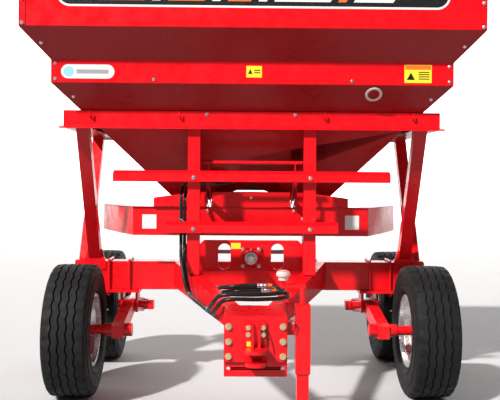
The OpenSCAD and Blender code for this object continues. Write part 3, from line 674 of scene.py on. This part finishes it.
def make_film():
    """Plain colour films on the hopper, the band, the shield and the plates."""
    main = facing((0, WALL_Y, 2.517), FRONTWARD)
    decal = Shape()
    decal.prism(rounded(1.190, 0.083, 0.083, 12), FILM, main)
    decal.prism(rounded(1.177, 0.070, 0.070, 12), PRINT, main, 1)
    lean = 0.030
    height = 0.044
    left = -0.93
    for width, colour in ((0.30, 2), (0.05, 0), (0.22, 2), (0.05, 0), (0.14, 2), (0.05, 0), (0.34, 0),
                          (0.05, 2), (0.24, 0)):
        right = left + width
        decal.prism([(left - lean, -height), (right - lean, -height), (right + lean, height),
                     (left + lean, height)], TOP_PRINT, main, colour)
        left = right + 0.045
    decal.make("front_decal", "chassis", "red_paint", WHITE_FILM, BLACK_FILM, ORANGE_FILM)

    labels = Shape()
    white = facing((-1.0305, BAND_Y, 2.066), FRONTWARD)
    labels.prism(rounded(0.1655, 0.0437, 0.0437, 10), FILM, white)
    labels.prism(circle(0.033, 28), PRINT, white @ Matrix.Translation((-0.118, 0, 0)), 1)
    labels.prism(rounded(0.100, 0.013, 0.004, 3), PRINT, white @ Matrix.Translation((0.030, 0, 0)), 2)
    middle = facing((0.0055, BAND_Y, 2.074), FRONTWARD)
    labels.prism(rounded(0.0485, 0.036, 0.003, 3), FILM, middle, 3)
    labels.prism([(-0.014, -0.016), (0.014, -0.016), (0.0, 0.014)], PRINT,
                 middle @ Matrix.Translation((-0.024, 0.002, 0)), 4)
    labels.prism(rounded(0.019, 0.003, 0.001, 2), PRINT, middle @ Matrix.Translation((0.020, 0.008, 0)), 4)
    labels.prism(rounded(0.019, 0.003, 0.001, 2), PRINT, middle @ Matrix.Translation((0.020, -0.006, 0)), 4)
    right = facing((1.0333, BAND_Y, 2.0695), FRONTWARD)
    labels.prism(rounded(0.0857, 0.0565, 0.003, 3), FILM, right, 3)
    labels.prism(rounded(0.081, 0.013, 0.002, 2), PRINT, right @ Matrix.Translation((0, 0.0395, 0)), 5)
    labels.prism([(-0.026, -0.024), (0.026, -0.024), (0.0, 0.022)], PRINT,
                 right @ Matrix.Translation((-0.045, -0.014, 0)), 4)
    for z in (0.010, -0.004, -0.018, -0.032):
        labels.prism(rounded(0.034, 0.003, 0.001, 2), PRINT, right @ Matrix.Translation((0.038, z, 0)), 4)
    for side in SIDES:
        plain = facing((side * 0.6975, AXLE_Y - 0.2645, 1.1115), (side * 0.0222, -1, 0))
        labels.prism(rounded(0.0485, 0.0485, 0.003, 3), 0.0006, plain)
    labels.prism(rounded(0.032, 0.020, 0.002, 3), 0.0008, facing((-0.102, 0.122, 0.957), FRONTWARD), 3)
    labels.prism(rounded(0.0165, 0.0115, 0.002, 3), 0.0008,
                 facing((-0.0275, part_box("hitch_clevis")[1].y - 0.014, 0.606), FRONTWARD), 3)
    labels.make("plain_labels", "chassis", "red_paint", WHITE_FILM, BLUE_FILM, GREY_FILM, YELLOW_FILM,
                BLACK_FILM, ORANGE_FILM)


def make_window():
    """Round sight window in the lower slope of the front wall."""
    place = facing((0.764, AXLE_Y - 0.706, 1.946), LOWER_SLOPE)
    window = Shape()
    window.ring_lathe([(0.037, -0.002), (0.054, -0.002), (0.054, 0.004), (0.051, 0.007), (0.040, 0.007),
                       (0.037, 0.004)], place, 40)
    window.lathe([(0.0375, -0.002), (0.0375, 0.0025)], place, 36, 1)
    for k in range(6):
        angle = math.tau * (k + 0.5) / 6
        seat = Matrix.Translation((0.0455 * math.cos(angle), 0.0455 * math.sin(angle), 0.007))
        window.hex_bolt(place @ seat, 0.0035, 2, washer=False)
    window.make("sight_window", "chassis", "red_paint", WHITE_RING, MATERIALS["red_paint"],
                MATERIALS["coupler_steel"])


def make_fasteners():
    hooks = Shape()
    for end in SIDES:
        for x in (-1.037, -0.467, 0.467, 1.037):
            hooks.tube([at_end((x, RAIL_Y + reach, z), end) for reach, z in (
                (0.002, 1.796), (-0.017, 1.796), (-0.0245, 1.7985), (-0.0275, 1.806), (-0.0275, 1.832))],
                0.0055, 12)
    hooks.make("rail_hooks", "chassis", "red_paint")

    bolts = Shape()
    for end in SIDES:
        for x in (-0.293, 0.277):
            bolts.hex_bolt(end_facing((x, RAIL_Y, 1.820), FRONTWARD, end), SMALL_BOLT)
    step_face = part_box("step_upper")[0].y
    for side in SIDES:
        for z in (1.410, 1.082):
            bolts.hex_bolt(facing((side * 0.374, step_face, z), FRONTWARD), LARGE_BOLT)
        bolts.hex_bolt(facing((side * 0.296, AXLE_Y - 0.2734, 1.188), FRONTWARD), SMALL_BOLT)
        bolts.hex_bolt(facing((side * 0.358, AXLE_Y - 0.2720, 1.132), FRONTWARD), SMALL_BOLT)
    bolts.hex_bolt(facing((0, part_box("front_cover")[0].y, 1.281), FRONTWARD), SMALL_BOLT)
    flange_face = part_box("pto_bearing")[0].y + 0.026
    for x in (-0.054, 0.054):
        for z in (0.826, 0.934):
            bolts.hex_bolt(facing((x, flange_face, z), FRONTWARD), LARGE_BOLT)
    bolts.make("small_bolts", "chassis", "coupler_steel")

    nipple = Shape()
    nipple.lathe([(0.0050, -0.001), (0.0050, 0.005), (0.0026, 0.006), (0.0026, 0.010), (0.0036, 0.012),
                  (0.0030, 0.016), (0.0012, 0.017)], facing((0, 0.096, 0.9275), UP), 12)
    for side in SIDES:
        nipple.lathe([(0.0050, -0.001), (0.0050, 0.005), (0.0026, 0.006), (0.0036, 0.012), (0.0012, 0.016)],
                     facing((side * 1.020, AXLE_Y, 0.462), (side, 0, 0), UP), 12)
    nipple.make("grease_nipples", "chassis", "yellow_zinc")

    collar = Shape()
    collar.ring_lathe([(0.0165, 0.0), (0.0415, 0.0), (0.0425, 0.001), (0.0425, 0.007), (0.0410, 0.009),
                       (0.0300, 0.0095), (0.0290, 0.0140), (0.0165, 0.0145)],
                      facing((0, 0.0785, 0.880), FRONTWARD), 40)
    collar.make("shaft_collar", "input_shaft", "bare_steel", MATERIALS["coupler_steel"])


def make_welds():
    beads = Shape()
    beam_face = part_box("crossbeam")[0].y
    head_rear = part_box("drawbar_head")[1].y
    clevis_y = HITCH_FACE - 0.014 - 0.0005
    for side in SIDES:
        for y in (-0.088, -0.026):
            beads.weld((side * 0.336, y, 0.788), (side * 0.412, y, 0.788), 0.0045)
        for x in (0.443, 0.535):
            beads.weld((side * x, beam_face - 0.001, 0.640), (side * x, beam_face - 0.001, 0.817), 0.005)
        for x in (0.062, 0.152):
            beads.weld((side * x, head_rear + 0.002, 0.622), (side * x, head_rear + 0.002, 0.714), 0.0045)
        for x, reach in ((1.103, -1), (1.188, 1)):
            for z, run in ((0.831, 0.038), (1.732, 0.520 if reach < 0 else 0.530)):
                y = AXLE_Y + reach * run
                for dy in (-0.039, 0.039):
                    beads.weld((side * (x - 0.041), y + dy, z), (side * (x + 0.041), y + dy, z), 0.004)
        for x in (1.025, 1.181):
            beads.weld((side * x, beam_face - 0.001, 0.762), (side * x, beam_face - 0.001, 0.811), 0.004)
        for x in (0.0225, 0.0095):
            beads.weld((side * x, clevis_y, 0.598), (side * x, clevis_y, 0.700), 0.0026)
    for z in (0.5125, 0.5895):
        beads.weld((-0.050, clevis_y, z), (0.050, clevis_y, z), 0.0032)
    beads.make("weld_beads", "chassis", "red_paint")


def make_hitch_and_jack_details():
    clip = Shape()
    clip.tube([Vector((x, y, z)) for x, y, z in (
        (0.036, -1.383, 0.690), (0.046, -1.389, 0.672), (0.056, -1.394, 0.640), (0.060, -1.398, 0.612),
        (0.058, -1.404, 0.594))], 0.0034, 10)
    clip.tube([Vector((0.180 + 0.0215 * math.sin(a), -1.3605, 0.676 + 0.026 * math.cos(a)))
               for a in (math.tau * k / 26 for k in range(26))], 0.0022, 8)
    knob = Shape()
    low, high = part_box("jack_crank")
    top = Vector((low.x + 0.033, (low.y + high.y) / 2, high.z))
    knob.lathe([(0.0235, -0.0475), (0.0240, -0.0290), (0.0320, -0.0280), (0.0342, -0.0235), (0.0336, -0.0160),
                (0.0280, -0.0040), (0.0200, 0.0006), (0.0100, 0.0018)],
               Matrix.Translation(top), 40)
    knob.make("jack_knob", "jack_handle", "red_paint", KNOB_PLASTIC)
    clip.make("retaining_clips", "chassis", "black_steel", BLACK_FILM)
    pin = Shape()
    place = facing((0.180, -1.270, 0.702), FRONTWARD)
    pin.lathe([(0.0062, 0.0), (0.0062, 0.096), (0.0052, 0.098)], place, 20)
    pin.lathe([(0.0100, -0.005), (0.0105, -0.003), (0.0105, 0.0), (0.0062, 0.0)], place, 20)
    pin.make("jack_pin", "chassis", "coupler_steel")


def make_valve_stems():
    for end in ("front", "rear"):
        for side in SIDES:
            wheel = f"{end}_{SIDE_NAMES[side]}"
            hub = centre(f"tyre_{wheel}")
            stem = Shape()
            path = [hub + Vector((side * x, 0.77 * r, 0.64 * r)) for x, r in (
                (0.066, 0.196), (0.078, 0.190), (0.092, 0.187), (0.104, 0.186))]
            stem.tube(path, 0.0042, 10)
            stem.lathe([(0.0052, 0.0), (0.0052, 0.012), (0.0040, 0.014)],
                       facing(path[-1] - Vector((side * 0.003, 0, 0)), (side, 0, 0)), 12)
            stem.make(f"valve_stem_{wheel}", f"wheel_{wheel}", "silver_rim", BLACK_FILM)


# ------------------------------------------------------------ the machine
dress_cad_nodes()
make_camera()
make_lights()
make_stage()
make_tyres()
make_hoses()
make_hopper_trim()
make_film()
make_window()
make_fasteners()
make_welds()
make_hitch_and_jack_details()
make_valve_stems()
